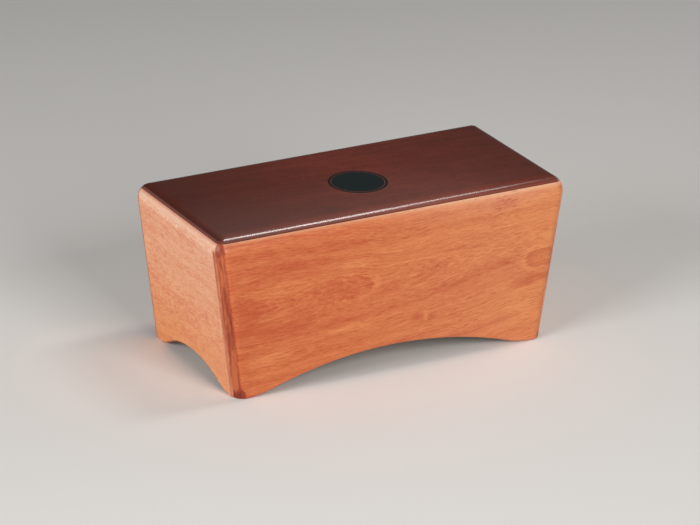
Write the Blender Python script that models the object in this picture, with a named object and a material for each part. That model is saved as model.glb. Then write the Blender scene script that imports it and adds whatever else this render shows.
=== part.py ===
# Bongo cajon: a low wooden box drum with two chambers, played on its dark top plate.
#
# Frame: metres, +Z up, X along the body, the front board faces -Y.
# The origin is on the floor under the middle of the body.
#
# Every outer board is sawn out of one common outer form, so that the lean of the ends, the rounded
# upright corners and the round-over of the top run through from board to board as on the sanded box.

import bpy
import bmesh
from math import asin, cos, pi, radians, sin, sqrt, tan
from mathutils import Vector

# Overall size
BODY_LENGTH = 0.400             # over the widest part of the ends, just under the top
BODY_DEPTH = 0.185
BODY_HEIGHT = 0.1745
END_LEAN = radians(8.15)        # each end board leans in towards the floor

# Rounded edges
CORNER_RADIUS = 0.0125          # upright corners, seen from above
TOP_ROUND = 0.019               # round-over that crosses the plate and runs on to the boards
LEAST_CORNER = 0.004            # what is left of the corner radius where the round-over eats it up
EDGE_ROUND = 0.0022             # small round along the lower edges and the arches

# Boards
PLATE_THICKNESS = 0.006
SIDE_THICKNESS = 0.009          # front and back boards
END_THICKNESS = 0.009
DIVIDER_THICKNESS = 0.009
DIVIDER_OFFSET = 0.018          # off centre, so that the chambers sound different
DIVIDER_FLOOR_CLEARANCE = 0.032  # lower edge of the divider above the floor
GROOVE_DEPTH = 0.003            # groove in the front and back boards that holds the divider
JOINT_GAP = 0.0003              # glue line between any two pieces

# Arches in the lower edges, with a flat foot left at every corner
SIDE_ARCH_RISE = 0.0269
SIDE_ARCH_FOOT = 0.008          # from the end of the body to where the blend starts to rise
SIDE_ARCH_BLEND = 0.112         # radius that eases the arch into the foot
END_ARCH_RISE = 0.0202
END_ARCH_FOOT = 0.018
END_ARCH_BLEND = 0.036

# Glued pieces inside
BLOCK_LEG = 0.016               # corner block, along each board
BLOCK_NOSE = 0.006              # what stays of each face beside the planed-off inner corner
BLOCK_FLOOR_CLEARANCE = 0.015
LINING_WIDTH = 0.010
LINING_HEIGHT = 0.012
LINING_CHAMFER = 0.005

# How finely the curves are divided
CORNER_STEPS = 7
TOP_STEPS = 9
EDGE_STEPS = 3
ARCH_STEPS = 30
BLEND_STEPS = 9

CUT_MARGIN = 0.010              # how far a cutter runs past what it cuts
ARCH_DIP = 0.0001               # the blend meets the foot just under the floor line, for a clean cut

# Sizes that follow from the ones above
LEAN_PER_HEIGHT = tan(END_LEAN)
TOP_HALF_LENGTH = BODY_LENGTH / 2 + TOP_ROUND * (
    1 + LEAN_PER_HEIGHT - sqrt(1 + LEAN_PER_HEIGHT ** 2))
HALF_DEPTH = BODY_DEPTH / 2
PLATE_UNDERSIDE = BODY_HEIGHT - PLATE_THICKNESS
BOARD_TOP = PLATE_UNDERSIDE - JOINT_GAP
LINING_UNDERSIDE = BOARD_TOP - LINING_HEIGHT
INNER_HALF_DEPTH = HALF_DEPTH - SIDE_THICKNESS

# Colours, linear
PLATE_COLOUR = (0.082, 0.030, 0.024, 1.0)
SIDE_COLOUR = (0.560, 0.170, 0.065, 1.0)
END_COLOUR = (0.720, 0.300, 0.150, 1.0)
INNER_COLOUR = (0.620, 0.400, 0.210, 1.0)


def clear_scene():
    for thing in list(bpy.data.objects):
        bpy.data.objects.remove(thing, do_unlink=True)


def wood(name, colour, roughness, coat):
    material = bpy.data.materials.new(name)
    material.use_nodes = True
    shader = material.node_tree.nodes["Principled BSDF"]
    shader.inputs["Base Color"].default_value = colour
    shader.inputs["Roughness"].default_value = roughness
    shader.inputs["Metallic"].default_value = 0.0
    shader.inputs["Coat Weight"].default_value = coat
    return material


def half_length(height):
    # Half the length of the leaning body at a height, as if its edges were sharp.
    return TOP_HALF_LENGTH - LEAN_PER_HEIGHT * (BODY_HEIGHT - height)


def inner_half_length(height):
    # The same, to the inner faces of the end boards.
    return half_length(height) - END_THICKNESS / cos(END_LEAN)


def rounded_outline(height, inset):
    # The body's outline at a height, drawn in by inset, with its four rounded corners.
    along = half_length(height) - inset
    across = HALF_DEPTH - inset
    radius = max(CORNER_RADIUS - inset, LEAST_CORNER)
    points = []
    for quarter in range(4):
        for step in range(CORNER_STEPS + 1):
            turn = (quarter + step / CORNER_STEPS) * pi / 2
            side_x = 1 if quarter in (0, 3) else -1
            side_y = 1 if quarter in (0, 1) else -1
            points.append((side_x * (along - radius) + radius * cos(turn),
                           side_y * (across - radius) + radius * sin(turn), height))
    return points


def outer_form():
    # The whole body as one block: stacked outlines, skinned and capped.
    rings = []
    for step in range(EDGE_STEPS + 1):
        turn = step / EDGE_STEPS * pi / 2
        rings.append(rounded_outline(EDGE_ROUND * (1 - cos(turn)), EDGE_ROUND * (1 - sin(turn))))
    for step in range(TOP_STEPS + 1):
        turn = step / TOP_STEPS * pi / 2
        rings.append(rounded_outline(BODY_HEIGHT - TOP_ROUND * (1 - sin(turn)),
                                     TOP_ROUND * (1 - cos(turn))))
    bm = bmesh.new()
    loops = [[bm.verts.new(point) for point in ring] for ring in rings]
    for lower, upper in zip(loops, loops[1:]):
        for i, vert in enumerate(lower):
            following = (i + 1) % len(lower)
            bm.faces.new((vert, lower[following], upper[following], upper[i]))
    bm.faces.new(reversed(loops[0]))
    bm.faces.new(loops[-1])
    return bm


def stock(low, high):
    # A squared block of wood between two corners.
    bm = bmesh.new()
    made = bmesh.ops.create_cube(bm, size=1.0)
    size = Vector(high) - Vector(low)
    bmesh.ops.scale(bm, vec=size, verts=made["verts"])
    bmesh.ops.translate(bm, vec=Vector(low) + size / 2, verts=made["verts"])
    return bm


def saw(bm, point, waste_side):
    # One flat saw cut: what lies on the waste side goes, and the cut is closed with a face.
    bmesh.ops.bisect_plane(bm, geom=bm.verts[:] + bm.edges[:] + bm.faces[:], dist=1e-7,
                           plane_co=point, plane_no=waste_side, clear_outer=True)
    rim = [edge for edge in bm.edges if edge.is_boundary]
    if rim:
        bmesh.ops.holes_fill(bm, edges=rim)


def end_plane_normal(side):
    # Outward normal of a leaning end face, side -1 for the left end and 1 for the right one.
    return Vector((side * cos(END_LEAN), 0, -sin(END_LEAN)))


def saw_to_end_board(bm, side, clearance):
    # Cuts a piece to length against the inner face of an end board.
    saw(bm, (side * (inner_half_length(0) - clearance), 0, 0), end_plane_normal(side))


def solid(name, bm, material):
    bmesh.ops.remove_doubles(bm, verts=bm.verts, dist=1e-7)
    bmesh.ops.recalc_face_normals(bm, faces=bm.faces)
    mesh = bpy.data.meshes.new(name)
    bm.to_mesh(mesh)
    bm.free()
    mesh.shade_smooth()
    mesh.set_sharp_from_angle(angle=radians(30))
    made = bpy.data.objects.new(name, mesh)
    bpy.context.scene.collection.objects.link(made)
    if material:
        made.data.materials.append(material)
    return made


def cutter(name, bm):
    made = solid(name, bm, None)
    made.hide_render = True
    made.display_type = "WIRE"
    return made


def cut(board, tool):
    modifier = board.modifiers.new("cut_" + tool.name, "BOOLEAN")
    modifier.operation = "DIFFERENCE"
    modifier.solver = "EXACT"
    modifier.object = tool


def arch_curve(half_span, rise, blend, growth):
    # Half of an arch, from its crown to where the blend meets the foot, as (along, height).
    # The main arc and the blend touch, and growth moves the curve into the wood.
    drop = rise + ARCH_DIP
    radii = (half_span ** 2 / drop + drop) / 2
    main = radii - blend
    meeting = asin(half_span / radii)
    points = []
    for step in range(ARCH_STEPS // 2 + 1):
        turn = meeting * step / (ARCH_STEPS // 2)
        points.append(((main + growth) * sin(turn), rise - main + (main + growth) * cos(turn)))
    for step in range(1, BLEND_STEPS + 1):
        turn = meeting * (1 - step / BLEND_STEPS)
        points.append((half_span - (blend - growth) * sin(turn),
                       blend - ARCH_DIP - (blend - growth) * cos(turn)))
    return points


def arch_cutter(name, half_span, rise, blend, thickness, place):
    # The waste under an arch. It flares at the outer face, which leaves a rounded edge.
    # place turns (along, depth behind the outer face, height) into a point on the board.
    sections = [(-CUT_MARGIN, EDGE_ROUND)]
    for step in range(EDGE_STEPS + 1):
        turn = step / EDGE_STEPS * pi / 2
        sections.append((EDGE_ROUND * (1 - cos(turn)), EDGE_ROUND * (1 - sin(turn))))
    sections.append((thickness + CUT_MARGIN, 0.0))
    bm = bmesh.new()
    loops = []
    for depth, growth in sections:
        half = arch_curve(half_span, rise, blend, growth)
        curve = [(-along, height) for along, height in reversed(half[1:])] + half
        outline = [(-half_span, -CUT_MARGIN)] + curve + [(half_span, -CUT_MARGIN)]
        loops.append([bm.verts.new(place(along, depth, height)) for along, height in outline])
    for outer, inner in zip(loops, loops[1:]):
        for i, vert in enumerate(outer):
            following = (i + 1) % len(outer)
            bm.faces.new((vert, outer[following], inner[following], inner[i]))
    bm.faces.new(loops[0])
    bm.faces.new(reversed(loops[-1]))
    return cutter(name, bm)


def playing_surface(material):
    plate = outer_form()
    saw(plate, (0, 0, PLATE_UNDERSIDE), (0, 0, -1))
    return solid("playing_surface", plate, material)


def side_board(name, side, material):
    # Front board (side -1) or back board (side 1), butted between the end boards.
    board = outer_form()
    saw(board, (0, 0, BOARD_TOP), (0, 0, 1))
    saw(board, (0, side * INNER_HALF_DEPTH, 0), (0, -side, 0))
    saw_to_end_board(board, -1, JOINT_GAP)
    saw_to_end_board(board, 1, JOINT_GAP)
    made = solid(name, board, material)
    cut(made, arch_cutter(
        name + "_arch_waste", half_length(0) - SIDE_ARCH_FOOT, SIDE_ARCH_RISE, SIDE_ARCH_BLEND,
        SIDE_THICKNESS, lambda along, depth, height: (along, side * (HALF_DEPTH - depth), height)))
    groove_half = DIVIDER_THICKNESS / 2 + JOINT_GAP
    bottom = INNER_HALF_DEPTH + GROOVE_DEPTH
    mouth = INNER_HALF_DEPTH - CUT_MARGIN
    groove_ends = sorted((side * bottom, side * mouth))
    cut(made, cutter(name + "_groove_waste", stock(
        (DIVIDER_OFFSET - groove_half, groove_ends[0], DIVIDER_FLOOR_CLEARANCE - JOINT_GAP),
        (DIVIDER_OFFSET + groove_half, groove_ends[1], BODY_HEIGHT))))
    return made


def end_board(name, side, material):
    # Left (side -1) or right (side 1) board, which laps the ends of the front and back boards.
    board = outer_form()
    saw(board, (0, 0, BOARD_TOP), (0, 0, 1))
    saw(board, (side * inner_half_length(0), 0, 0), -end_plane_normal(side))
    made = solid(name, board, material)
    cut(made, arch_cutter(
        name + "_arch_waste", HALF_DEPTH - END_ARCH_FOOT, END_ARCH_RISE, END_ARCH_BLEND,
        END_THICKNESS,
        lambda along, depth, height: (side * (half_length(height) - depth), along, height)))
    return made


def centre_divider(material):
    reach = INNER_HALF_DEPTH + GROOVE_DEPTH - JOINT_GAP
    board = stock((DIVIDER_OFFSET - DIVIDER_THICKNESS / 2, -reach, DIVIDER_FLOOR_CLEARANCE),
                  (DIVIDER_OFFSET + DIVIDER_THICKNESS / 2, reach, BOARD_TOP))
    return solid("centre_divider", board, material)


def corner_block(name, side_x, side_y, material):
    # Upright glue block with its inner corner planed off, leaning with the end board.
    inner_y = INNER_HALF_DEPTH - JOINT_GAP
    low = BLOCK_FLOOR_CLEARANCE
    high = LINING_UNDERSIDE - JOINT_GAP
    bm = bmesh.new()
    loops = []
    for height in (low, high):
        inner_x = inner_half_length(height) - JOINT_GAP / cos(END_LEAN)
        shape = [(0, 0), (BLOCK_LEG, 0), (BLOCK_LEG, BLOCK_NOSE), (BLOCK_NOSE, BLOCK_LEG),
                 (0, BLOCK_LEG)]
        loops.append([bm.verts.new((side_x * (inner_x - u), side_y * (inner_y - v), height))
                      for u, v in shape])
    lower, upper = loops
    for i, vert in enumerate(lower):
        following = (i + 1) % len(lower)
        bm.faces.new((vert, lower[following], upper[following], upper[i]))
    bm.faces.new(lower)
    bm.faces.new(upper)
    return solid(name, bm, material)


def side_lining(name, side_x, side_y, material):
    # Strip along the top of the front or back board, from an end board to the divider.
    face = INNER_HALF_DEPTH - JOINT_GAP
    divider_face = DIVIDER_OFFSET + side_x * (DIVIDER_THICKNESS / 2 + JOINT_GAP)
    reach = side_x * (inner_half_length(BOARD_TOP) + CUT_MARGIN)
    ends_x = sorted((divider_face, reach))
    ends_y = sorted((side_y * face, side_y * (face - LINING_WIDTH)))
    strip = stock((ends_x[0], ends_y[0], LINING_UNDERSIDE), (ends_x[1], ends_y[1], BOARD_TOP))
    saw_to_end_board(strip, side_x, JOINT_GAP / cos(END_LEAN))
    saw(strip, (0, side_y * (face - LINING_WIDTH), LINING_UNDERSIDE + LINING_CHAMFER),
        (0, -side_y, -1))
    return solid(name, strip, material)


def end_lining(name, side, material):
    # Strip along the top of an end board, between the front and back strips.
    reach = INNER_HALF_DEPTH - JOINT_GAP - LINING_WIDTH - JOINT_GAP
    outer = inner_half_length(BOARD_TOP) + CUT_MARGIN
    inner = inner_half_length(LINING_UNDERSIDE) - LINING_WIDTH
    ends_x = sorted((side * outer, side * inner))
    strip = stock((ends_x[0], -reach, LINING_UNDERSIDE), (ends_x[1], reach, BOARD_TOP))
    saw_to_end_board(strip, side, JOINT_GAP / cos(END_LEAN))
    saw(strip, (side * inner, 0, LINING_UNDERSIDE + LINING_CHAMFER), (-side, 0, -1))
    return solid(name, strip, material)


def build():
    clear_scene()
    plate_wood = wood("stained_plate", PLATE_COLOUR, 0.30, 0.6)
    side_wood = wood("oiled_side_board", SIDE_COLOUR, 0.45, 0.2)
    end_wood = wood("oiled_end_board", END_COLOUR, 0.45, 0.2)
    inner_wood = wood("raw_inner_wood", INNER_COLOUR, 0.75, 0.0)

    playing_surface(plate_wood)
    side_board("front_panel", -1, side_wood)
    side_board("back_panel", 1, side_wood)
    end_board("left_end_panel", -1, end_wood)
    end_board("right_end_panel", 1, end_wood)
    centre_divider(inner_wood)
    for word_x, side_x in (("left", -1), ("right", 1)):
        end_lining("end_lining_" + word_x, side_x, inner_wood)
        for word_y, side_y in (("front", -1), ("back", 1)):
            corner_block(f"corner_block_{word_y}_{word_x}", side_x, side_y, inner_wood)
            side_lining(f"{word_y}_lining_{word_x}", side_x, side_y, inner_wood)


build()
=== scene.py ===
import bpy
import bmesh
from math import asin, cos, pi, radians, sin, sqrt, tan
from mathutils import Matrix, Vector


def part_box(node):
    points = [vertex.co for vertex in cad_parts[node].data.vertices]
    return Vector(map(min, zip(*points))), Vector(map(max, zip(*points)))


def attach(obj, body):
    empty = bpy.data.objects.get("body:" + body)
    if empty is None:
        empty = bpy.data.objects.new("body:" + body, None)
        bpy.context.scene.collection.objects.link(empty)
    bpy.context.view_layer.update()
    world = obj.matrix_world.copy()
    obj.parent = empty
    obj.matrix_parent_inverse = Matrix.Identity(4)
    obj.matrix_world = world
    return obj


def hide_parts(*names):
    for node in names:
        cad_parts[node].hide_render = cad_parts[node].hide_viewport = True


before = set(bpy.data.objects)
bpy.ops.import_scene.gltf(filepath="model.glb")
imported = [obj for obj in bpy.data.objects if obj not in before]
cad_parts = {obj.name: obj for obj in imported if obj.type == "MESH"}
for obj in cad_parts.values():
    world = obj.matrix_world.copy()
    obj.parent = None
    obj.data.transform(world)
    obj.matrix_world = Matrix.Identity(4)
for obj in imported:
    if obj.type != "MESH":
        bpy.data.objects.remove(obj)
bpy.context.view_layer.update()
print("frame loaded:", len(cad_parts), "CAD nodes")

# the whole drum, all in metres
body = {
    "length": 0.400,
    "depth": 0.185,
    "height": 0.1745,
    "lean": radians(8.15),       # the ends lean in towards the floor
    "corner": 0.0125,            # upright corners
    "leastCorner": 0.004,        # what the round-over leaves of them
    "cornerSteps": 12,
    "topRound": 0.019,           # round-over of plate and boards together
    "topSteps": 18,
    "lowerEdge": 0.0022,         # sanded lower edges and arches
    "lowerEdgeSteps": 5,
    "sideThickness": 0.009,
    "endThickness": 0.009,
    "lap": 0.0066,               # what covers the front and back boards, rabbeted out of the ends
    "plateUnderside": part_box("playing_surface")[0].z,
    "joint": 0.00006,            # glued joints show as a hairline
}
leanSlope = tan(body["lean"])
topHalfLength = body["length"] / 2 + body["topRound"] * (1 + leanSlope - sqrt(1 + leanSlope ** 2))
halfDepth = body["depth"] / 2

# how the cuts and the shading are made, in metres
workshop = {
    "sawThreshold": 0.000001,
    "mergeDistance": 0.00001,
    "onFace": 0.0005,            # a point this near the outer form counts as on it,
    "onCorner": 0.0006,          # and this near at a corner, whose facets lie a little inside
    "margin": 0.01,              # how far a cutter reaches past the wood
    "floorMargin": 0.05,         # and how far below the floor
    "dot": 0.001,                # first plane of an arch, merged to one point
    "rabbet": (0.02, 0.04, 0.4),  # cutter along, across and up
    "faceDown": -0.5,            # normals' upright part: below this a face looks down,
    "faceUpright": 0.2,          # and within this it stands upright
    "faceInwards": 0.9,
    "sharpAngle": radians(32),   # edges below this are shaded round
    "normalWeight": 90,
}


def halfLength(height):
    return topHalfLength - leanSlope * (body["height"] - height)


def innerHalfLength(height):
    return halfLength(height) - body["endThickness"] / cos(body["lean"])


def lapHalfLength(height):
    return halfLength(height) - body["lap"] / cos(body["lean"])


def deselectAll():
    bpy.ops.object.select_all(action="DESELECT")


def activate(obj):
    deselectAll()
    obj.select_set(True)
    bpy.context.view_layer.objects.active = obj


def copyPiece(source, name):
    activate(source)
    bpy.ops.object.duplicate()
    made = bpy.context.object
    made.name = name
    made.data.name = name
    return made


def applyModifier(obj, kind, **settings):
    activate(obj)
    bpy.ops.object.modifier_add(type=kind)
    modifier = obj.modifiers[-1]
    for key, value in settings.items():
        setattr(modifier, key, value)
    bpy.ops.object.modifier_apply(modifier=modifier.name)


def selectEdges(obj, wanted):
    # in edit mode: selects the edges that pass the test
    bpy.ops.mesh.select_mode(type="EDGE")
    bpy.ops.mesh.select_all(action="DESELECT")
    bm = bmesh.from_edit_mesh(obj.data)
    bm.normal_update()
    count = 0
    for edge in bm.edges:
        if len(edge.link_faces) == 2 and wanted(edge):
            edge.select = True
            count += 1
    bm.select_flush_mode()
    bmesh.update_edit_mesh(obj.data)
    return count


def sawOff(point, wasteSide):
    # in edit mode: one flat saw cut, closed with a face
    bpy.ops.mesh.select_all(action="SELECT")
    bpy.ops.mesh.bisect(plane_co=point, plane_no=wasteSide, use_fill=True, clear_outer=True,
                        threshold=workshop["sawThreshold"])


def cutAway(board, waste):
    applyModifier(board, "BOOLEAN", operation="DIFFERENCE", solver="EXACT", object=waste)
    bpy.data.objects.remove(waste, do_unlink=True)


def smooth(obj):
    activate(obj)
    bpy.ops.object.shade_smooth_by_angle(angle=workshop["sharpAngle"])
    applyModifier(obj, "WEIGHTED_NORMAL", keep_sharp=True, weight=workshop["normalWeight"])


# the common outer form that every outer board is sawn from
def addOutline(height, inset):
    # one outline of the body, a plane with its corners bevelled round
    halfX = halfLength(height) - inset
    halfY = halfDepth - inset
    bpy.ops.mesh.primitive_plane_add(size=2, location=(0, 0, height))
    if bpy.context.mode == "OBJECT":
        bpy.ops.object.transform_apply(location=True, rotation=True, scale=True)
        bpy.ops.object.mode_set(mode="EDIT")
    bpy.ops.transform.resize(value=(halfX, halfY, 1), center_override=(0, 0, height))
    bpy.ops.mesh.bevel(offset=max(body["corner"] - inset, body["leastCorner"]),
                       offset_type="OFFSET", segments=body["cornerSteps"], profile=0.5,
                       affect="VERTICES")


def makeOuterForm():
    deselectAll()
    addOutline(0, 0)
    for step in range(body["topSteps"] + 1):
        turn = step / body["topSteps"] * pi / 2
        addOutline(body["height"] - body["topRound"] * (1 - sin(turn)),
                   body["topRound"] * (1 - cos(turn)))
    bpy.ops.mesh.select_all(action="SELECT")
    bpy.ops.mesh.delete(type="ONLY_FACE")
    bpy.ops.mesh.select_all(action="SELECT")
    bpy.ops.mesh.bridge_edge_loops()
    bpy.ops.mesh.select_all(action="SELECT")
    bpy.ops.mesh.fill_holes(sides=0)
    bpy.ops.mesh.normals_make_consistent(inside=False)
    bpy.ops.object.mode_set(mode="OBJECT")
    form = bpy.context.object
    form.name = "outerForm"
    return form


# arches, in metres; the foot is what stays flat at each end, and the blend is the radius of the
# curve that leads from the foot into the arch
sideArch = {"rise": 0.0269, "foot": 0.008, "blend": 0.112, "steps": 72, "blendSteps": 18,
            "reach": body["sideThickness"] + 2 * workshop["margin"]}
endArch = {"rise": 0.0202, "foot": 0.018, "blend": 0.036, "steps": 48, "blendSteps": 16,
           "reach": 0.06}
archDip = 0.0001                 # the blend meets the foot just under the floor line
archTop = 0.03                   # no arch or foot reaches higher


def makeArchWaste(arch, halfSpan, along, inward, start):
    # the wood under an arch: a blend, the main arc and a blend, spun from one vertex,
    # then drawn down and through the board; "radii" is both radii together
    drop = arch["rise"] + archDip
    radii = (halfSpan ** 2 / drop + drop) / 2
    meeting = asin(halfSpan / radii)
    main = radii - arch["blend"]
    along = Vector(along)
    start = Vector(start)
    up = Vector((0, 0, 1))
    axis = along.cross(up) * -1
    first = start - along * halfSpan - up * archDip
    deselectAll()
    bpy.ops.mesh.primitive_plane_add(size=workshop["dot"], location=first)
    waste = bpy.context.object
    bpy.ops.object.transform_apply(location=True, rotation=True, scale=True)
    bpy.ops.object.mode_set(mode="EDIT")
    bpy.ops.mesh.select_all(action="SELECT")
    bpy.ops.mesh.merge(type="CENTER")
    blendUp = up * (arch["blend"] - archDip)
    arcs = (
        (start - along * halfSpan + blendUp, meeting, arch["blendSteps"]),
        (start + up * (arch["rise"] - main), -2 * meeting, arch["steps"]),
        (start + along * halfSpan + blendUp, meeting, arch["blendSteps"]),
    )
    for centre, angle, steps in arcs:
        bpy.ops.mesh.spin(steps=steps, angle=angle, center=centre, axis=axis)
    for travel in (up * -workshop["floorMargin"], Vector(inward) * arch["reach"]):
        bpy.ops.mesh.select_all(action="SELECT")
        bpy.ops.mesh.extrude_region_move(TRANSFORM_OT_translate={"value": travel})
    bpy.ops.mesh.select_all(action="SELECT")
    bpy.ops.mesh.normals_make_consistent(inside=False)
    bpy.ops.object.mode_set(mode="OBJECT")
    return waste


def roundLowerEdge(board, outside):
    # rounds the outer edge of the feet and the arch in one run
    activate(board)
    bpy.ops.object.mode_set(mode="EDIT")

    def lowerOuterEdge(edge):
        middle = (edge.verts[0].co + edge.verts[1].co) / 2
        if middle.z > archTop or not outside(middle):
            return False
        slopes = [face.normal.z for face in edge.link_faces]
        down = sum(1 for slope in slopes if slope < workshop["faceDown"])
        upright = sum(1 for slope in slopes if abs(slope) < workshop["faceUpright"])
        return down == 1 and upright == 1

    count = selectEdges(board, lowerOuterEdge)
    bpy.ops.mesh.bevel(offset=body["lowerEdge"], offset_type="OFFSET",
                       segments=body["lowerEdgeSteps"], profile=0.5, affect="EDGES",
                       clamp_overlap=False)
    bpy.ops.mesh.select_mode(type="VERT")
    bpy.ops.object.mode_set(mode="OBJECT")
    print(board.name, "edges rounded:", count)


def makePlate(form):
    plate = copyPiece(form, "stainedPlate")
    bpy.ops.object.mode_set(mode="EDIT")
    sawOff((0, 0, body["plateUnderside"]), (0, 0, -1))
    bpy.ops.object.mode_set(mode="OBJECT")
    smooth(plate)
    return plate


def cutGroove(board):
    # the divider is let into both long boards
    low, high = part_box("centre_divider")
    gap = body["joint"]
    bpy.ops.mesh.primitive_cube_add(size=1)
    waste = bpy.context.object
    waste.dimensions = (high.x - low.x + 2 * gap, 2 * (high.y + gap), high.z - low.z + 2 * gap)
    waste.location = (low + high) / 2
    bpy.ops.object.transform_apply(location=True, rotation=True, scale=True)
    cutAway(board, waste)


def makeSideBoard(form, name, side):
    board = copyPiece(form, name)
    bpy.ops.object.mode_set(mode="EDIT")
    sawOff((0, 0, body["plateUnderside"] - body["joint"]), (0, 0, 1))
    sawOff((0, side * (halfDepth - body["sideThickness"]), 0), (0, -side, 0))
    for end in (-1, 1):
        outward = (end * cos(body["lean"]), 0, -sin(body["lean"]))
        sawOff((end * (lapHalfLength(0) - body["joint"]), 0, 0), outward)
    bpy.ops.object.mode_set(mode="OBJECT")
    waste = makeArchWaste(sideArch, halfLength(0) - sideArch["foot"], (1, 0, 0), (0, -side, 0),
                          (0, side * (halfDepth + workshop["margin"]), 0))
    cutAway(board, waste)
    cutGroove(board)
    # the ends of the board already follow the corner, so they lie a little further in
    roundLowerEdge(board, lambda point: abs(point.y) > halfDepth - body["sideThickness"] / 3)
    smooth(board)
    return board


def cutRabbets(board, side):
    # leaves a thinner lip over the ends of the front and back boards
    size = workshop["rabbet"]
    outward = Vector((side * cos(body["lean"]), 0, -sin(body["lean"])))
    for facing in (-1, 1):
        bpy.ops.mesh.primitive_cube_add(size=1)
        waste = bpy.context.object
        waste.dimensions = size
        waste.rotation_euler = (0, side * body["lean"], 0)
        shoulder = facing * (halfDepth - body["sideThickness"] - body["joint"] + size[1] / 2)
        waste.location = Vector((side * lapHalfLength(0), shoulder, 0)) - outward * size[0] / 2
        bpy.ops.object.transform_apply(location=True, rotation=True, scale=True)
        cutAway(board, waste)


def makeEndBoard(form, name, side):
    board = copyPiece(form, name)
    inward = (-side * cos(body["lean"]), 0, sin(body["lean"]))
    bpy.ops.object.mode_set(mode="EDIT")
    sawOff((0, 0, body["plateUnderside"] - body["joint"]), (0, 0, 1))
    sawOff((side * innerHalfLength(0), 0, 0), inward)
    bpy.ops.object.mode_set(mode="OBJECT")
    waste = makeArchWaste(endArch, halfDepth - endArch["foot"], (0, 1, 0), (-side, 0, 0),
                          (side * (body["length"] / 2 + workshop["margin"]), 0, 0))
    cutAway(board, waste)
    cutRabbets(board, side)

    def outside(point):
        past = halfLength(point.z) - body["corner"]
        across = halfDepth - body["corner"]
        x, y = abs(point.x), abs(point.y)
        if x > past and y > across:
            away = sqrt((x - past) ** 2 + (y - across) ** 2)
            return away > body["corner"] - workshop["onCorner"]
        near = workshop["onFace"]
        return x > halfLength(point.z) - near or y > halfDepth - near

    roundLowerEdge(board, outside)
    smooth(board)
    return board


# the glued pieces inside: the CAD solids, with their loose triangles joined and their edges eased
innerPiece = {
    "ease": 0.0005,
    "easeSteps": 2,
    "flatAngle": radians(1),     # triangles that meet at less are one face
    "edgeAngle": radians(20),    # edges above this are eased
}


def easeInnerPiece(node, name):
    piece = copyPiece(node, name)
    bpy.ops.object.mode_set(mode="EDIT")
    bpy.ops.mesh.select_all(action="SELECT")
    bpy.ops.mesh.remove_doubles(threshold=workshop["mergeDistance"])
    bpy.ops.mesh.dissolve_limited(angle_limit=innerPiece["flatAngle"])
    selectEdges(piece, lambda edge: edge.calc_face_angle(0) > innerPiece["edgeAngle"])
    bpy.ops.mesh.bevel(offset=innerPiece["ease"], offset_type="OFFSET",
                       segments=innerPiece["easeSteps"], profile=0.5, affect="EDGES")
    bpy.ops.mesh.select_mode(type="VERT")
    bpy.ops.object.mode_set(mode="OBJECT")
    smooth(piece)
    return piece


def linear(hexColour):
    channels = [int(hexColour[i:i + 2], 16) / 255 for i in (0, 2, 4)]
    return [c / 12.92 if c <= 0.04045 else ((c + 0.055) / 1.055) ** 2.4 for c in channels] + [1.0]


def addNode(tree, kind, settings={}, inputs={}):
    # one node; an input is a number, a hex colour, a socket, or a node, which stands for its
    # first output in use
    node = tree.nodes.new("ShaderNode" + kind)
    for key, value in settings.items():
        setattr(node, key, value)
    for key, value in (inputs.items() if isinstance(inputs, dict) else enumerate(inputs)):
        if isinstance(value, bpy.types.Node):
            value = [socket for socket in value.outputs if socket.enabled][0]
        if isinstance(value, bpy.types.NodeSocket):
            tree.links.new(value, node.inputs[key])
        else:
            node.inputs[key].default_value = linear(value) if isinstance(value, str) else value
    return node


def startMaterial(name, finish):
    material = bpy.data.materials.new(name)
    material.use_nodes = True
    shader = material.node_tree.nodes["Principled BSDF"]
    for key, value in finish.items():
        shader.inputs[key].default_value = value
    return material, material.node_tree, shader


# settings of nodes. In a Mix node of colours, input 0 is the share, 6 and 7 are the two colours,
# and output 2 is the result. A range in the dictionaries below is given as from, to and, where
# they aren't 0 and 1, the values there.
rgba = {"data_type": "RGBA"}
softStep = {"interpolation_type": "SMOOTHSTEP"}
millimetres = 1000               # in a metre

# what the grain of every board has in common
grain = {
    "ringRise": (0.25, 0.88),    # each ring darkens outwards
    "ringFall": (1.0, 0.88),     # and ends in a sharper edge
    # the means of rings and streaks are taken off, so that a stronger pattern isn't darker
    "ringMean": 0.3,
    "streakMean": 0.5,
    "depthMean": 0.5,
    "slowNoise": {"Scale": 1.0, "Detail": 1.0},
    "fineNoise": {"Scale": 1.0, "Detail": 2.0},
    "plainShare": 0.35,          # of the plain width in the streaks
    "dashEdge": (0.30, 0.18),    # as a share of the cell that a dash lies in
    "dashGroups": (45, 11, 11),  # length and width of their loose groups
    "dashGroupShow": (0.40, 0.62, 0.35, 1.0),
}


def fanOut(tree, wood, bent):
    # the grain climbs towards one end, more so further from a point below the board
    along = addNode(tree, "SeparateXYZ", {}, [bent])
    spread = addNode(tree, "MapRange", {}, [along.outputs["X"], *wood["fan"]])
    shrink = addNode(tree, "CombineXYZ", {}, [1.0, 1.0, spread])
    centre = (0, 0, wood["fanHeight"])
    offset = addNode(tree, "VectorMath", {"operation": "SUBTRACT"}, [bent, centre])
    return addNode(tree, "VectorMath", {"operation": "MULTIPLY_ADD"}, [offset, shrink, centre])


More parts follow.
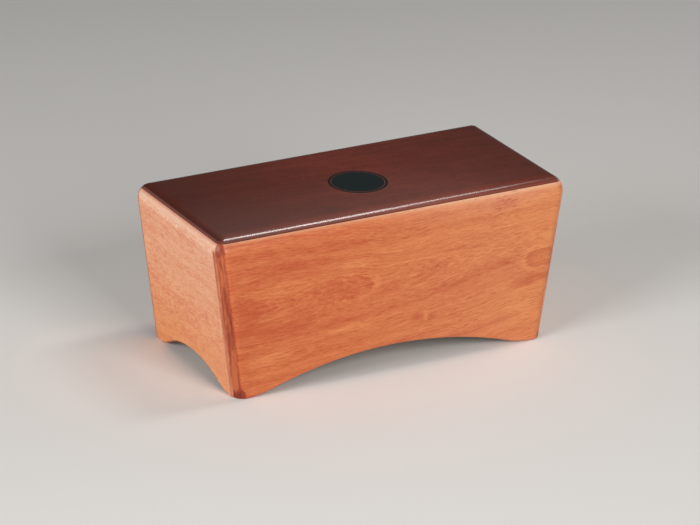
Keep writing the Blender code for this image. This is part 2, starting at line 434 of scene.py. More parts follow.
def addDashes(tree, wood, flow):
    # short pore dashes, in loose groups
    pores = 0.0
    for length, width, share, show in wood["dashes"]:
        cells = addNode(tree, "VectorMath", {"operation": "DIVIDE"},
                        [flow, (length * 2, width * 2, width * 2)])
        cell = addNode(tree, "TexVoronoi", {}, {"Vector": cells, "Scale": 1.0})
        dash = addNode(tree, "MapRange", softStep, [cell.outputs["Distance"], *grain["dashEdge"]])
        tone = addNode(tree, "SeparateXYZ", {}, [cell.outputs["Color"]])
        kept = addNode(tree, "Math", {"operation": "LESS_THAN"}, [tone, share])
        drawn = addNode(tree, "Math", {"operation": "MULTIPLY"}, [dash, kept])
        pores = addNode(tree, "Math", {"operation": "MULTIPLY_ADD"}, [drawn, show, pores])
    group = addNode(tree, "VectorMath", {"operation": "DIVIDE"}, [flow, grain["dashGroups"]])
    noise = addNode(tree, "TexNoise", {}, {"Vector": group, **grain["slowNoise"]})
    grouped = addNode(tree, "MapRange", softStep, [noise, *grain["dashGroupShow"]])
    return addNode(tree, "Math", {"operation": "MULTIPLY"}, [pores, grouped])


def addGrain(tree, wood):
    # wood grain in millimetres, with the first axis along the grain
    place = addNode(tree, "TexCoord").outputs["Object"]
    lay = addNode(tree, "Mapping", {}, {
        "Vector": place, "Location": wood["shift"], "Rotation": (0, 0, wood["turn"]),
        "Scale": (millimetres, millimetres, millimetres)})
    length, width, height = wood["bend"]
    slow = addNode(tree, "VectorMath", {"operation": "DIVIDE"}, [lay, (length, width, width)])
    wave = addNode(tree, "TexNoise", {}, {"Vector": slow, **grain["slowNoise"]})
    bent = addNode(tree, "VectorMath", {"operation": "MULTIPLY_ADD"},
                   [wave.outputs["Color"], (0, 2 * height, 2 * height), lay])
    flow = fanOut(tree, wood, bent) if "fan" in wood else bent
    # growth rings round a pith some way off the face, which runs out slowly and so gives the
    # nested U figure of a flat-sawn board
    apart = addNode(tree, "SeparateXYZ", {}, [flow])
    across = addNode(tree, "VectorMath", {"operation": "MULTIPLY"}, [flow, (0, 1, 1)])
    radius = addNode(tree, "VectorMath", {"operation": "LENGTH"}, [across]).outputs["Value"]
    ring = addNode(tree, "Math", {"operation": "MULTIPLY_ADD"},
                   [apart.outputs["X"], wood["taper"], radius])
    ringCount = addNode(tree, "Math", {"operation": "DIVIDE"}, [ring, wood["ringWidth"]])
    ringPart = addNode(tree, "Math", {"operation": "FRACT"}, [ringCount])
    darkening = addNode(tree, "MapRange", softStep, [ringPart, *grain["ringRise"]])
    ending = addNode(tree, "MapRange", softStep, [ringPart, *grain["ringFall"]])
    ringTone = addNode(tree, "Math", {"operation": "MULTIPLY"}, [darkening, ending])
    # the streaks and clouds follow the rings; a share of the plain width keeps them from
    # mirroring about the pith
    plain = addNode(tree, "Math", {"operation": "ADD"}, [apart.outputs["Y"], apart.outputs["Z"]])
    plain = addNode(tree, "Math", {"operation": "MULTIPLY"}, [plain, grain["plainShare"]])
    follow = addNode(tree, "CombineXYZ", {}, [apart.outputs["X"], plain, ring])
    terms = [(ringTone, wood["ringShow"], grain["ringMean"])]
    for size, girth, show in wood["patterns"]:
        scaled = addNode(tree, "VectorMath", {"operation": "DIVIDE"},
                         [follow, (size, girth, girth)])
        noise = addNode(tree, "TexNoise", {}, {"Vector": scaled, **grain["fineNoise"]})
        terms.append((noise, show, grain["streakMean"]))
    depth = grain["depthMean"] - sum(show * mean for pattern, show, mean in terms)
    for pattern, show, mean in terms:
        depth = addNode(tree, "Math", {"operation": "MULTIPLY_ADD"}, [pattern, show, depth])
    return place, bent, depth, addDashes(tree, wood, flow)


def finishSurface(tree, shader, wood, colour, pores):
    # the surface is duller over the pores
    dull = addNode(tree, "Math", {"operation": "MULTIPLY_ADD"},
                   [pores, wood["poreDulling"], wood["surface"]["Roughness"]])
    tree.links.new(dull.outputs[0], shader.inputs["Roughness"])
    tree.links.new(colour.outputs[2], shader.inputs["Base Color"])


def addDepthBehindEnd(tree, at):
    # millimetres behind the leaning face of the nearer end
    outward = addNode(tree, "Math", {"operation": "ABSOLUTE"}, [at["X"]])
    scale = millimetres * cos(body["lean"])
    reach = addNode(tree, "Math", {"operation": "MULTIPLY_ADD"},
                    [at["Z"], leanSlope * scale, halfLength(0) * scale])
    return addNode(tree, "Math", {"operation": "MULTIPLY_ADD"}, [outward, -scale, reach])


# front and back: rubberwood face veneer, orange stain under satin lacquer. The stain takes
# unevenly, so the eye sees soft redder and paler clouds, fine streaks along the grain, a faint
# flat-sawn figure and short dark pore dashes. The dashes are drawn about twice as coarse as real
# ones, or they wouldn't show. The grain is in millimetres, and ranges over the drum in metres.
sideWood = {
    "surface": {"Roughness": 0.40, "Specular IOR Level": 0.3,
                "Coat Weight": 0.08, "Coat Roughness": 0.25},
    "poreDulling": 0.2,
    "pale": "dd8a54",
    "deep": "bb552e",
    "pore": "ac3f1d",
    "turn": 0.0,
    "shift": (25, 104, -105),    # the pith lies 18 mm in front of the face and 98 mm up
    "bend": (130, 45, 7.0),      # length, width and height of the slow waves
    "taper": 0.07,
    "fan": (10, 195, 1.0, 0.89),  # from and to along the grain, and how the heights shrink
    "fanHeight": -145,
    "ringWidth": 13.0, "ringShow": 0.16,
    # length, width and strength of each layer of streaks
    "patterns": ((160, 16, 0.8), (28, 7, 0.15), (28, 1.0, 0.5), (16, 0.9, 1.1), (5, 0.5, 1.0)),
    # length, width, share and strength of the pore dashes
    "dashes": ((15.0, 0.6, 0.9, 0.62), (8.0, 0.5, 0.9, 0.55)),
    "drift": -1.25,              # a little redder towards the left
    # redder and paler places: along, up, half length, half height and strength
    "patches": ((10, 90, 240, 28, 0.12), (-165, 92, 30, 36, 0.22), (-128, 130, 40, 6, 0.25),
                (-72, 99, 46, 10, 0.12), (-20, 100, 6, 10, -0.35), (-122, 68, 40, 5, 0.26),
                (-60, 67, 24, 6, 0.22), (-48, 121, 30, 9, -0.22), (-45, 54, 40, 6, -0.22),
                (-140, 38, 40, 12, -0.3), (28, 53, 13, 6, 0.4), (37, 53, 4, 8, -0.3),
                (46, 52, 8, 5, 0.25), (-72, 140, 34, 3, 0.25), (165, 72, 36, 8, 0.5),
                (125, 96, 16, 8, 0.2), (126, 157, 24, 6, 0.5), (70, 118, 60, 4, 0.2),
                (150, 66, 22, 6, 0.4), (150, 36, 30, 14, -0.3)),
    "patchEdge": (1.0, 0.2),     # where a patch fades, as a share of its size
    # rounded tips in the grain: along, up, length and half height, the way it points, strength
    "tongues": ((-39, 97, 12, 10, 1, 0.17), (166, 93, 12, 9, -1, 0.3)),
    # sanded thin: a seam along the top edge, wider and stronger towards the right
    "seam": "e8b490",
    "seamReach": (0.003, 0.0044),
    "seamEdge": (1.0, 0.1),      # as a share of its reach
    "seamShow": (-0.06, 0.08, 0.5, 0.82),
    # and the round-over, more towards the right, but less at the very corner: partly sanding,
    # partly a painted sheen of reflected light
    "sandedUp": (0.146, 0.166, 0.09, 0.40),
    "sandedRight": (-0.04, 0.15),
    "sandedCorner": (0.12, 0.18, 1.0, 0.45),
    # stain crept along the end joints, further at foot and head, and most at the left end
    "joint": "8e3319",
    "creptFoot": (0.014, 0.006),
    "creptHead": (0.155, 0.162, 0, 0.5),
    "creptLeft": (0.1, -0.1, 0.35, 1.0),
    "creptReach": -3.0,          # mm further at foot and head
    "creptStreaks": -1.6,        # mm further where the grain is deeper
    "creptShow": (8.0, 5.4, 0, 0.6),  # mm behind the face of the end
}
backWood = dict(sideWood, shift=(-60, -118, -70),
                patches=((-95, 92, 50, 8, 0.4), (40, 60, 30, 6, -0.3), (120, 120, 34, 12, 0.4)),
                tongues=((30, 110, 14, 9, 1, 0.4),))

# one rounded tip, by how far a point lies from its centre as a share of its size
tongueShape = {
    "streaks": -0.5,             # its edge is ragged by the grain
    "inside": (-0.1, 0.68),      # darker towards its edge,
    "edge": (0.68, 1.02, 1.0, -0.9),  # with a pale line outside
    "fade": (1.6, 1.0),
    "tail": (-5.0, 0.2),         # it fades out behind
    "flatBehind": (0, 0, -1000),  # behind the centre only the height counts
}


def addOffsetOnBoard(tree, wood, bent, along, up):
    # millimetres from a place on the board, bent like the grain
    centre = (along + wood["shift"][0], 0, up + wood["shift"][2] + wood["bend"][2])
    return addNode(tree, "VectorMath", {"operation": "SUBTRACT"}, [bent, centre])


def addPatches(tree, wood, bent, depth):
    for along, up, halfSpan, halfRise, show in wood["patches"]:
        offset = addOffsetOnBoard(tree, wood, bent, along, up)
        flat = addNode(tree, "VectorMath", {"operation": "MULTIPLY"},
                       [offset, (1 / halfSpan, 0, 1 / halfRise)])
        away = addNode(tree, "VectorMath", {"operation": "LENGTH"}, [flat]).outputs["Value"]
        patch = addNode(tree, "MapRange", softStep, [away, *wood["patchEdge"]])
        depth = addNode(tree, "Math", {"operation": "MULTIPLY_ADD"}, [patch, show, depth])
    return depth


def addTongues(tree, wood, bent, depth):
    shape = tongueShape
    for along, up, reach, halfRise, facing, show in wood["tongues"]:
        offset = addOffsetOnBoard(tree, wood, bent, along, up)
        turned = addNode(tree, "VectorMath", {"operation": "MULTIPLY"},
                         [offset, (facing / reach, 0, 1 / halfRise)])
        ahead = addNode(tree, "VectorMath", {"operation": "MAXIMUM"},
                        [turned, shape["flatBehind"]])
        away = addNode(tree, "VectorMath", {"operation": "LENGTH"}, [ahead]).outputs["Value"]
        away = addNode(tree, "Math", {"operation": "MULTIPLY_ADD"},
                       [depth, shape["streaks"], away])
        tongue = addNode(tree, "MapRange", softStep, [away, *shape["inside"], 0, show])
        edge = addNode(tree, "MapRange", softStep, [away, *shape["edge"]])
        faded = addNode(tree, "MapRange", softStep, [away, *shape["fade"]])
        behindTip = addNode(tree, "SeparateXYZ", {}, [turned]).outputs["X"]
        started = addNode(tree, "MapRange", softStep, [behindTip, *shape["tail"]])
        for factor in (edge, faded, started):
            tongue = addNode(tree, "Math", {"operation": "MULTIPLY"}, [tongue, factor])
        depth = addNode(tree, "Math", {"operation": "ADD"}, [tongue, depth])
    return depth


def addSandedEdgeAndSheen(tree, wood, at, colour):
    halfX = body["length"] / 2
    reach = addNode(tree, "MapRange", {}, [at["X"], -halfX, halfX, *wood["seamReach"]])
    below = addNode(tree, "Math", {"operation": "SUBTRACT"}, [body["plateUnderside"], at["Z"]])
    below = addNode(tree, "Math", {"operation": "DIVIDE"}, [below, reach])
    seam = addNode(tree, "MapRange", {}, [below, *wood["seamEdge"]])
    strength = addNode(tree, "MapRange", softStep, [at["X"], *wood["seamShow"]])
    seam = addNode(tree, "Math", {"operation": "MULTIPLY"}, [seam, strength])
    # the round-over band: partly sanding, partly a painted sheen of reflected light, more towards
    # the right
    upper = addNode(tree, "MapRange", softStep, [at["Z"], *wood["sandedUp"]])
    rightwards = addNode(tree, "MapRange", {}, [at["X"], *wood["sandedRight"]])
    corner = addNode(tree, "MapRange", {}, [at["X"], *wood["sandedCorner"]])
    sanded = addNode(tree, "Math", {"operation": "MULTIPLY"}, [upper, rightwards])
    sanded = addNode(tree, "Math", {"operation": "MULTIPLY"}, [sanded, corner])
    colour = addNode(tree, "Mix", rgba, {0: sanded, 6: colour, 7: wood["seam"]})
    return addNode(tree, "Mix", rgba, {0: seam, 6: colour, 7: wood["seam"]})


def addCreptStain(tree, wood, at, behind, held, colour):
    foot = addNode(tree, "MapRange", softStep, [at["Z"], *wood["creptFoot"]])
    head = addNode(tree, "MapRange", softStep, [at["Z"], *wood["creptHead"]])
    crept = addNode(tree, "Math", {"operation": "MAXIMUM"}, [foot, head])
    leftwards = addNode(tree, "MapRange", {}, [at["X"], *wood["creptLeft"]])
    crept = addNode(tree, "Math", {"operation": "MULTIPLY"}, [crept, leftwards])
    wander = addNode(tree, "Math", {"operation": "MULTIPLY_ADD"},
                     [crept, wood["creptReach"], behind])
    wander = addNode(tree, "Math", {"operation": "MULTIPLY_ADD"},
                     [held, wood["creptStreaks"], wander])
    joint = addNode(tree, "MapRange", softStep, [wander, *wood["creptShow"]])
    joint = addNode(tree, "Math", {"operation": "MULTIPLY"}, [joint, leftwards])
    joint = addNode(tree, "Math", {"operation": "MULTIPLY_ADD"}, [crept, joint, joint])
    return addNode(tree, "Mix", rgba, {0: joint, 6: colour, 7: wood["joint"]})


def makeSideFinish(name, wood):
    material, tree, shader = startMaterial(name, wood["surface"])
    place, bent, depth, pores = addGrain(tree, wood)
    at = addNode(tree, "SeparateXYZ", {}, [place]).outputs
    behind = addDepthBehindEnd(tree, at)
    depth = addNode(tree, "Math", {"operation": "MULTIPLY_ADD"}, [at["X"], wood["drift"], depth])
    depth = addPatches(tree, wood, bent, depth)
    depth = addTongues(tree, wood, bent, depth)
    held = addNode(tree, "Clamp", {}, [depth])
    colour = addNode(tree, "Mix", rgba, {0: held, 6: wood["pale"], 7: wood["deep"]})
    colour = addSandedEdgeAndSheen(tree, wood, at, colour)
    colour = addNode(tree, "Mix", rgba, {0: pores, 6: colour, 7: wood["pore"]})
    colour = addCreptStain(tree, wood, at, behind, held, colour)
    finishSurface(tree, shader, wood, colour, pores)
    return material


# ends: the same wood and lacquer with a paler face veneer and a core that shows where the rounding
# cuts through it: pinkish along the round-over, and dark end grain on the upright corners, where
# the stain soaks in. The grain is in millimetres, and ranges over the drum in metres.
leftWood = {
    "surface": {"Roughness": 0.40, "Specular IOR Level": 0.3,
                "Coat Weight": 0.05, "Coat Roughness": 0.25},
    "poreDulling": 0.2,
    "upper": "ebb290",           # paler near the top, deeper towards the floor
    "lower": "ec9f62",
    "upwards": (0.03, 0.15),
    "forward": "d8a284",         # duller and pinker towards the front corner
    "forwards": (0.06, -0.085, 0, 0.42),
    "sanded": "f2c8aa",          # palest where the round-over begins: partly sanding, partly a painted highlight
    "sandedUp": (0.1530, 0.1615),
    "deep": "d8764a",            # streaks
    "streakStart": 0.15,
    "pore": "a8592f",
    "turn": radians(90),
    "shift": (40, 250, -60),
    "bend": (70, 30, 5.0),
    "taper": 0.03,
    "ringWidth": 9.0, "ringShow": 0.12,
    "patterns": ((110, 16, 0.7), (16, 3.5, 0.5), (9, 2.6, 0.5), (40, 0.7, 0.9), (16, 0.7, 1.2),
                 (5, 0.6, 2.2)),
    "dashes": ((5.0, 0.5, 0.5, 0.25),),
    "blotches": ((35, 3.5, 1.0), (9, 1.8, 0.8)),  # length, width and strength, upright
    # veneer on the rounding of the upright corners, by how far the surface turns from the end;
    # darker and pinker there, partly the veneer's edge and partly painted shade where the corner
    # turns from the light
    "veneerEdge": ("c67c5a", "ae583a"),
    "veneerTurn": (0.005, 0.09),
    "veneerStreaks": (0.7, 1.1),
    "veneerEnds": (0.95, 1.20),  # mm behind the face, where the core begins
    "core": "eec2a6",            # core, cut along the grain
    "coreStreaks": 0.5,
    "seam": "da9a82",            # core next to the plate
    "seamReach": (0.0030, 0.0003),
    "endGrain": ("b25e37", "8f3a24", "702c19"),
    "endGrainTurn": (0.15, 0.45),
    "dark": (0.82, 1.20),
    "darkest": (1.20, 1.60),
    # where the end grain is darkest: from, blend and to in metres, and how much
    "soaked": ((0.040, 0.03, 0.130, 0.18), (-0.02, 0.01, 0.014, 0.6), (0.154, 0.005, 0.2, 0.25)),
    "soakedJoint": (5.4, 6.4, 0, 0.12),  # mm behind the face
}
# the right end's end grain is painted paler than the left's, as painted light falling from the
# right
rightWood = dict(leftWood, shift=(-35, -250, -110), endGrain=("e2906a", "cc7450", "b05c3c"),
                 soaked=((0.040, 0.03, 0.130, 0.22), (-0.02, 0.01, 0.011, 1.0)))


def addBlotches(tree, wood, at, behind):
    # upright blotches and streaks, by millimetres behind the face and metres along and up
    layers = addNode(tree, "CombineXYZ", {}, [behind, at["Y"], at["Z"]])
    blotches = 0.0
    for size, girth, show in wood["blotches"]:
        scaled = addNode(tree, "VectorMath", {"operation": "DIVIDE"},
                         [layers, (girth, girth / millimetres, size / millimetres)])
        noise = addNode(tree, "TexNoise", {}, {"Vector": scaled, **grain["fineNoise"]})
        blotches = addNode(tree, "Math", {"operation": "MULTIPLY_ADD"}, [noise, show, blotches])
    return blotches


def addFaceVeneer(tree, wood, at, streaks, turned, blotches):
    height = addNode(tree, "MapRange", {}, [at["Z"], *wood["upwards"]])
    ground = addNode(tree, "Mix", rgba, {0: height, 6: wood["lower"], 7: wood["upper"]})
    forward = addNode(tree, "MapRange", {}, [at["Y"], *wood["forwards"]])
    ground = addNode(tree, "Mix", rgba, {0: forward, 6: ground, 7: wood["forward"]})
    # palest where the round-over begins: partly sanding, partly a painted highlight
    sanded = addNode(tree, "MapRange", softStep, [at["Z"], *wood["sandedUp"]])
    ground = addNode(tree, "Mix", rgba, {0: sanded, 6: ground, 7: wood["sanded"]})
    face = addNode(tree, "Mix", rgba, {0: streaks, 6: ground, 7: wood["deep"]})
    # partly the veneer's edge, partly painted shade where the corner turns away from the light
    rounded = addNode(tree, "MapRange", softStep, [turned, *wood["veneerTurn"]])
    streaky = addNode(tree, "MapRange", softStep, [blotches, *wood["veneerStreaks"]])
    paler, redder = wood["veneerEdge"]
    pink = addNode(tree, "Mix", rgba, {0: streaky, 6: paler, 7: redder})
    return addNode(tree, "Mix", rgba, {0: rounded, 6: face, 7: pink})


def addEndGrain(tree, wood, at, behind, blotches):
    # the stain soaks in most halfway up, at foot and head and beside the joint
    bias = 0.0
    for start, blend, finish, show in wood["soaked"]:
        rise = addNode(tree, "MapRange", softStep, [at["Z"], start, start + blend])
        fall = addNode(tree, "MapRange", softStep, [at["Z"], finish, finish - blend])
        held = addNode(tree, "Math", {"operation": "MINIMUM"}, [rise, fall])
        bias = addNode(tree, "Math", {"operation": "MULTIPLY_ADD"}, [held, show, bias])
    joint = addNode(tree, "MapRange", softStep, [behind, *wood["soakedJoint"]])
    bias = addNode(tree, "Math", {"operation": "ADD"}, [bias, joint])
    soaking = addNode(tree, "Math", {"operation": "ADD"}, [blotches, bias])
    dark = addNode(tree, "MapRange", softStep, [soaking, *wood["dark"]])
    darkest = addNode(tree, "MapRange", softStep, [soaking, *wood["darkest"]])
    first, second, third = wood["endGrain"]
    colour = addNode(tree, "Mix", rgba, {0: dark, 6: first, 7: second})
    return addNode(tree, "Mix", rgba, {0: darkest, 6: colour, 7: third})


def addCore(tree, wood, at, behind, streaks, turned, blotches):
    # cut along its grain on the round-over and across it on the upright corners
    top = body["plateUnderside"]
    low, high = wood["seamReach"]
    seam = addNode(tree, "MapRange", softStep, [at["Z"], top - low, top - high])
    along = addNode(tree, "Mix", rgba, {0: seam, 6: wood["core"], 7: wood["seam"]})
    lighter = addNode(tree, "Math", {"operation": "MULTIPLY"}, [streaks, wood["coreStreaks"]])
    along = addNode(tree, "Mix", rgba, {0: lighter, 6: along, 7: wood["deep"]})
    endGrain = addEndGrain(tree, wood, at, behind, blotches)
    across = addNode(tree, "MapRange", softStep, [turned, *wood["endGrainTurn"]])
    return addNode(tree, "Mix", rgba, {0: across, 6: along, 7: endGrain})


def makeEndFinish(name, wood):
    material, tree, shader = startMaterial(name, wood["surface"])
    place, bent, depth, pores = addGrain(tree, wood)
    at = addNode(tree, "SeparateXYZ", {}, [place]).outputs
    behind = addDepthBehindEnd(tree, at)
    lighter = addNode(tree, "Math", {"operation": "SUBTRACT"}, [depth, wood["streakStart"]])
    streaks = addNode(tree, "Clamp", {}, [lighter])
    facing = addNode(tree, "SeparateXYZ", {}, [addNode(tree, "TexCoord").outputs["Normal"]])
    turned = addNode(tree, "Math", {"operation": "ABSOLUTE"}, [facing.outputs["Y"]])
    blotches = addBlotches(tree, wood, at, behind)
    face = addFaceVeneer(tree, wood, at, streaks, turned, blotches)
    face = addNode(tree, "Mix", rgba, {0: pores, 6: face, 7: wood["pore"]})
    core = addCore(tree, wood, at, behind, streaks, turned, blotches)
    inside = addNode(tree, "MapRange", softStep, [behind, *wood["veneerEnds"]])
    colour = addNode(tree, "Mix", rgba, {0: inside, 6: face, 7: core})
    finishSurface(tree, shader, wood, colour, pores)
    return material


# the playing plate: the same wood stained dark brown under a glossier lacquer, so the grain only
# shows as soft reddish and darker streaks. The lacquer lies level over the pores, which are only a
# little duller. The grain is in millimetres, and ranges over the drum in metres.
plateWood = {
    "surface": {"Roughness": 0.30, "Specular IOR Level": 0.1,
                "Coat Weight": 1.0, "Coat Roughness": 0.13},
    "poreDulling": 0.1,
    "pale": "8b3c2a",
    "deep": "65271a",
    "pore": "3c1a12",
    "turn": 0.0,
    "shift": (30, 60, -120),
    "bend": (80, 30, 5.0),
    "taper": 0.05,
    "ringWidth": 11.0, "ringShow": 0.1,
    "patterns": ((160, 12, 0.5), (50, 14, 0.9), (30, 3, 0.6), (10, 3, 0.35), (6, 1.5, 1.2)),
    "dashes": ((6.0, 0.7, 0.5, 0.3),),
    "dark": "4a1e15",            # painted shade: darker towards both ends and at the rounding of the left one
    "darkLeft": (0.0, -0.26),
    "darkRight": (0.04, 0.18, 0, 0.45),
    "darkEnd": (-0.186, -0.197, 0, 0.3),
    "haze": "8e6860",            # painted sheen: a greyer reflection in the middle of the front
    "hazeForward": (0.020, -0.075, 0, 0.33),
    "hazeRight": (0.19, 0.02, 0.2, 1.0),
    "hazeLeft": (-0.196, -0.185),
    "rim": "a05a4a",             # paler just above the lower edge, most at the ends: partly thinner stain, partly a painted sheen
    "rimUp": (0.0028, 0.0012),
    "rimRight": (-0.05, 0.18, 0.0, 0.4),
    "rimLeft": (-0.182, -0.192, 0, 0.32),
    "line": "3a1810",            # stain gathered in a dark line below that, least at the ends
    "lineUp": (0.0009, 0.0003),
    "lineRight": (-0.05, 0.18, 0.65, 0.3),
    "lineLeft": -1.8,
}
# the plain spot and ring that are printed under the lacquer
plateSpot = {
    "centre": (0.0006, -0.0117, 0),  # metres
    "radius": 30.6,              # this and the others in millimetres
    "edge": 0.2,
    "ring": 27.4, "ringWidth": 0.9,
    "ringEdge": 0.15,
    "colour": "0c1c1c",
}


def addPaintedShadeAndSheen(tree, wood, at, colour):
    # painted shade, darker towards both ends and at the rounding of the left one
    shade = addNode(tree, "MapRange", {}, [at["X"], *wood["darkLeft"]])
    right = addNode(tree, "MapRange", {}, [at["X"], *wood["darkRight"]])
    shade = addNode(tree, "Math", {"operation": "ADD"}, [shade, right])
    edge = addNode(tree, "MapRange", softStep, [at["X"], *wood["darkEnd"]])
    shade = addNode(tree, "Math", {"operation": "ADD"}, [shade, edge])
    colour = addNode(tree, "Mix", rgba, {0: shade, 6: colour, 7: wood["dark"]})
    # painted sheen: a greyer reflection over the middle of the front
    forward = addNode(tree, "MapRange", {}, [at["Y"], *wood["hazeForward"]])
    middle = addNode(tree, "MapRange", softStep, [at["X"], *wood["hazeRight"]])
    haze = addNode(tree, "Math", {"operation": "MULTIPLY"}, [forward, middle])
    inner = addNode(tree, "MapRange", softStep, [at["X"], *wood["hazeLeft"]])
    haze = addNode(tree, "Math", {"operation": "MULTIPLY"}, [haze, inner])
    return addNode(tree, "Mix", rgba, {0: haze, 6: colour, 7: wood["haze"]})


def addSpot(tree, place, colour):
    offset = addNode(tree, "VectorMath", {"operation": "SUBTRACT"}, [place, plateSpot["centre"]])
    flat = addNode(tree, "VectorMath", {"operation": "MULTIPLY"},
                   [offset, (millimetres, millimetres, 0)])
    away = addNode(tree, "VectorMath", {"operation": "LENGTH"}, [flat]).outputs["Value"]
    radius, edge = plateSpot["radius"], plateSpot["edge"]
    spot = addNode(tree, "MapRange", softStep, [away, radius + edge, radius - edge])
    fromRing = addNode(tree, "Math", {"operation": "SUBTRACT"}, [away, plateSpot["ring"]])
    fromRing = addNode(tree, "Math", {"operation": "ABSOLUTE"}, [fromRing])
    halfRing, edge = plateSpot["ringWidth"] / 2, plateSpot["ringEdge"]
    clear = addNode(tree, "MapRange", softStep, [fromRing, halfRing - edge, halfRing + edge])
    inked = addNode(tree, "Math", {"operation": "MULTIPLY"}, [spot, clear])
    return addNode(tree, "Mix", rgba, {0: inked, 6: colour, 7: plateSpot["colour"]})


def addLowerEdge(tree, wood, at, colour):
    low = body["plateUnderside"]
    # partly thinner stain, partly a painted sheen just above the lower edge
    rimTop, rimFull = wood["rimUp"]
    rim = addNode(tree, "MapRange", softStep, [at["Z"], low + rimTop, low + rimFull])
    thin = addNode(tree, "MapRange", {}, [at["X"], *wood["rimRight"]])
    leftEnd = addNode(tree, "MapRange", {}, [at["X"], *wood["rimLeft"]])
    thin = addNode(tree, "Math", {"operation": "MAXIMUM"}, [thin, leftEnd])
    rim = addNode(tree, "Math", {"operation": "MULTIPLY"}, [rim, thin])
    colour = addNode(tree, "Mix", rgba, {0: rim, 6: colour, 7: wood["rim"]})
    lineTop, lineFull = wood["lineUp"]
    line = addNode(tree, "MapRange", softStep, [at["Z"], low + lineTop, low + lineFull])
    gathered = addNode(tree, "MapRange", {}, [at["X"], *wood["lineRight"]])
    gathered = addNode(tree, "Math", {"operation": "MULTIPLY_ADD"},
                       [leftEnd, wood["lineLeft"], gathered])
    line = addNode(tree, "Math", {"operation": "MULTIPLY"}, [line, gathered])
    return addNode(tree, "Mix", rgba, {0: line, 6: colour, 7: wood["line"]})


def makePlateFinish(name, wood):
    material, tree, shader = startMaterial(name, wood["surface"])
    place, bent, depth, pores = addGrain(tree, wood)
    at = addNode(tree, "SeparateXYZ", {}, [place]).outputs
    held = addNode(tree, "Clamp", {}, [depth])
    colour = addNode(tree, "Mix", rgba, {0: held, 6: wood["pale"], 7: wood["deep"]})
    colour = addPaintedShadeAndSheen(tree, wood, at, colour)
    colour = addNode(tree, "Mix", rgba, {0: pores, 6: colour, 7: wood["pore"]})
    colour = addSpot(tree, place, colour)
    colour = addLowerEdge(tree, wood, at, colour)
    finishSurface(tree, shader, wood, colour, pores)
    return material


# inside: bare sawn rubberwood and plywood, pale, dry and unlacquered. Sizes are in millimetres.
bareWood = {
    "surface": {"Roughness": 0.75, "Specular IOR Level": 0.5,
                "Coat Weight": 0.0, "Coat Roughness": 0.3},
    "poreDulling": 0.2,
    "pale": "e2c49a",
    "deep": "bf966a",
    "pore": "8f6a46",
    "turn": 0.0,
    "shift": (0, 90, -20),
    "bend": (80, 30, 4.0),
    "taper": 0.05,
    "ringWidth": 9.0, "ringShow": 0.25,
    "patterns": ((120, 14, 0.8), (28, 1.2, 0.8), (9, 0.6, 0.8)),
    "dashes": ((5.0, 0.5, 0.45, 0.6),),
}


def makeBareFinish(name, wood):
    material, tree, shader = startMaterial(name, wood["surface"])
    place, bent, depth, pores = addGrain(tree, wood)
    held = addNode(tree, "Clamp", {}, [depth])
    colour = addNode(tree, "Mix", rgba, {0: held, 6: wood["pale"], 7: wood["deep"]})
    colour = addNode(tree, "Mix", rgba, {0: pores, 6: colour, 7: wood["pore"]})
    finishSurface(tree, shader, wood, colour, pores)
    return material


plateFinish = makePlateFinish("darkStainedRubberwoodPlate", plateWood)
frontFinish = makeSideFinish("orangeStainedRubberwoodFront", sideWood)
backFinish = makeSideFinish("orangeStainedRubberwoodBack", backWood)
leftFinish = makeEndFinish("paleStainedRubberwoodLeft", leftWood)
rightFinish = makeEndFinish("paleStainedRubberwoodRight", rightWood)
bareAlong = makeBareFinish("bareRubberwoodAlong", bareWood)
bareAcross = makeBareFinish("bareRubberwoodAcross", dict(bareWood, turn=radians(90)))
print("finishes made")

outerForm = makeOuterForm()
print("outer form:", len(outerForm.data.vertices), "points")
stainedPlate = makePlate(outerForm)
frontBoard = makeSideBoard(outerForm, "frontBoard", -1)
backBoard = makeSideBoard(outerForm, "backBoard", 1)
leftEndBoard = makeEndBoard(outerForm, "leftEndBoard", -1)
rightEndBoard = makeEndBoard(outerForm, "rightEndBoard", 1)
bpy.data.objects.remove(outerForm, do_unlink=True)
print("boards made")

dressed = {
    "playing_surface": (stainedPlate, plateFinish, bareAlong, "stained_plate"),
    "front_panel": (frontBoard, frontFinish, bareAlong, "side_board"),
    "back_panel": (backBoard, backFinish, bareAlong, "side_board"),
    "left_end_panel": (leftEndBoard, leftFinish, bareAcross, "end_board"),
    "right_end_panel": (rightEndBoard, rightFinish, bareAcross, "end_board"),
}


def facesInwards(name, face):
    # the faces that look into the box stay bare
    square = workshop["faceInwards"]
    if name == "stainedPlate":
        return face.normal.z < -square
    if name in ("frontBoard", "backBoard"):
        return face.normal.y * face.center.y < 0 and abs(face.normal.y) > square
    return face.normal.x * face.center.x < 0 and abs(face.normal.x) > square


for node, (piece, finish, bare, slot) in dressed.items():
    piece.data.materials.clear()
    piece.data.materials.append(finish)
    piece.data.materials.append(bare)
    for face in piece.data.polygons:
        face.material_index = 1 if facesInwards(piece.name, face) else 0
    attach(piece, "root")
    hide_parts(node)

for name, node in list(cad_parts.items()):
    if name in dressed:
        continue
    words = name.split("_")
    piece = easeInnerPiece(node, words[0] + "".join(word.title() for word in words[1:]))
    piece.data.materials.clear()
    piece.data.materials.append(bareAcross if words[0] in ("centre", "end") else bareAlong)
    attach(piece, "root")
    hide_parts(name)
print("boards and inner pieces dressed")

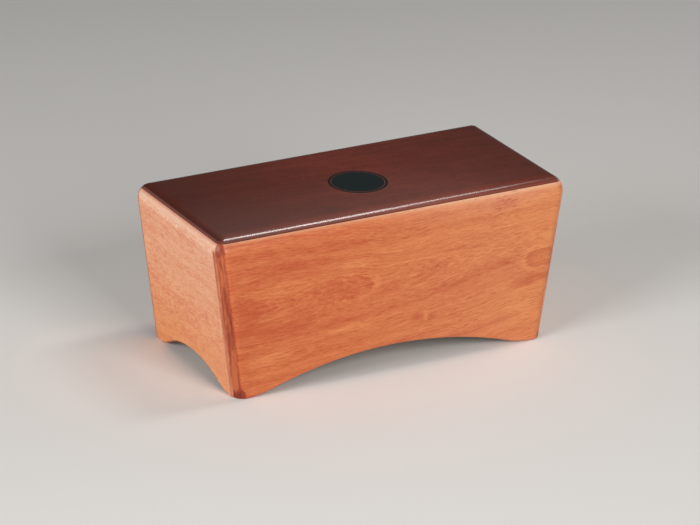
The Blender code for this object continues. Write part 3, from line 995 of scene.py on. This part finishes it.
# a plain pale floor and a dim even sky, so that the glossy plate isn't washed out; the softboxes
# do the lighting
studio = {
    "floorSize": 12,
    "floorColour": "eeece8",
    "floorSurface": {"Roughness": 0.9, "Specular IOR Level": 0.5,
                     "Coat Weight": 0.0, "Coat Roughness": 0.3},
    "skyColour": (1, 1, 1, 1),
    "skyStrength": 0.065,
}
floorFinish, floorTree, floorShader = startMaterial("paleStudioFloor", studio["floorSurface"])
floorShader.inputs["Base Color"].default_value = linear(studio["floorColour"])
deselectAll()
bpy.ops.mesh.primitive_plane_add(size=studio["floorSize"], location=(0, 0, 0))
floor = bpy.context.object
floor.name = "floor"
floor.data.materials.append(floorFinish)

world = bpy.data.worlds.new("studio")
bpy.context.scene.world = world
world.use_nodes = True
sky = world.node_tree.nodes["Background"]
sky.inputs["Color"].default_value = studio["skyColour"]
sky.inputs["Strength"].default_value = studio["skyStrength"]

# place and target, width and height, power in watts, and colour; the thin reflection of the two
# top strips runs along the front round-over of the plate
white = (1.0, 1.0, 1.0)
warm = (1.0, 0.95, 0.92)
softboxes = {
    "front": ((0.1, -2.9, 1.5), (0, 0, 0.08), 1.4, 1.4, 60, white),
    "left": ((-2.5, -0.7, 1.0), (0, 0, 0.08), 1.4, 1.4, 49, white),
    "backRight": ((3.2, 0.9, 1.0), (0, 0, 0.1), 2.0, 2.0, 14, white),
    "backLeft": ((-1.6, 2.2, 0.24), (0, 0, 0.1), 0.8, 0.34, 3, white),
    "topStrip": ((0.478, -0.10, 1.5), (0, -0.09, 0.17), 0.17, 0.395, 3.4, warm),
    "topStripEnd": ((0.775, 0.01, 1.5), (0.1, -0.09, 0.17), 0.12, 0.20, 0.78, warm),
    "backLeftFill": ((-1.1, 2.1, 1.2), (-0.2, 0, 0.17), 0.6, 0.3, 0.2, white),
}
for name, (place, target, width, height, power, colour) in softboxes.items():
    lamp = bpy.data.lights.new(name, "AREA")
    lamp.shape = "RECTANGLE"
    lamp.size = width
    lamp.size_y = height
    lamp.energy = power
    lamp.color = colour
    softbox = bpy.data.objects.new(name, lamp)
    bpy.context.scene.collection.objects.link(softbox)
    softbox.location = place
    aim = Vector(target) - Vector(place)
    softbox.rotation_euler = aim.to_track_quat("-Z", "Y").to_euler()

# the camera, fitted to the photograph; lengths in metres, sensor in millimetres
camera = {
    "azimuth": radians(-29.622),
    "elevation": radians(22.582),
    "roll": radians(1.393),
    "distance": 4.3736,
    "target": (0, 0, 0.10127),
    "slide": (-0.00007, -0.01778),
    "focalPixels": 4299,
    "imageWidth": 700,
    "sensor": 36,
    "clipEnd": 50,
}


def addCamera():
    azimuth, elevation, roll = camera["azimuth"], camera["elevation"], camera["roll"]
    back = Vector((sin(azimuth) * cos(elevation), -cos(azimuth) * cos(elevation), sin(elevation)))
    right = Vector((cos(azimuth), sin(azimuth), 0))
    up = back.cross(right)
    rolledRight = right * cos(roll) + up * sin(roll)
    rolledUp = up * cos(roll) - right * sin(roll)
    lens = bpy.data.cameras.new("camera")
    lens.sensor_width = camera["sensor"]
    lens.lens = camera["focalPixels"] / camera["imageWidth"] * camera["sensor"]
    lens.clip_end = camera["clipEnd"]
    made = bpy.data.objects.new("camera", lens)
    bpy.context.scene.collection.objects.link(made)
    place = (Vector(camera["target"]) + back * camera["distance"]
             + rolledRight * camera["slide"][0] + rolledUp * camera["slide"][1])
    turned = Matrix((rolledRight, rolledUp, back)).transposed().to_4x4()
    made.matrix_world = Matrix.Translation(place) @ turned
    bpy.context.scene.camera = made


addCamera()
bpy.context.scene.view_settings.view_transform = "Standard"
print("studio and camera ready")
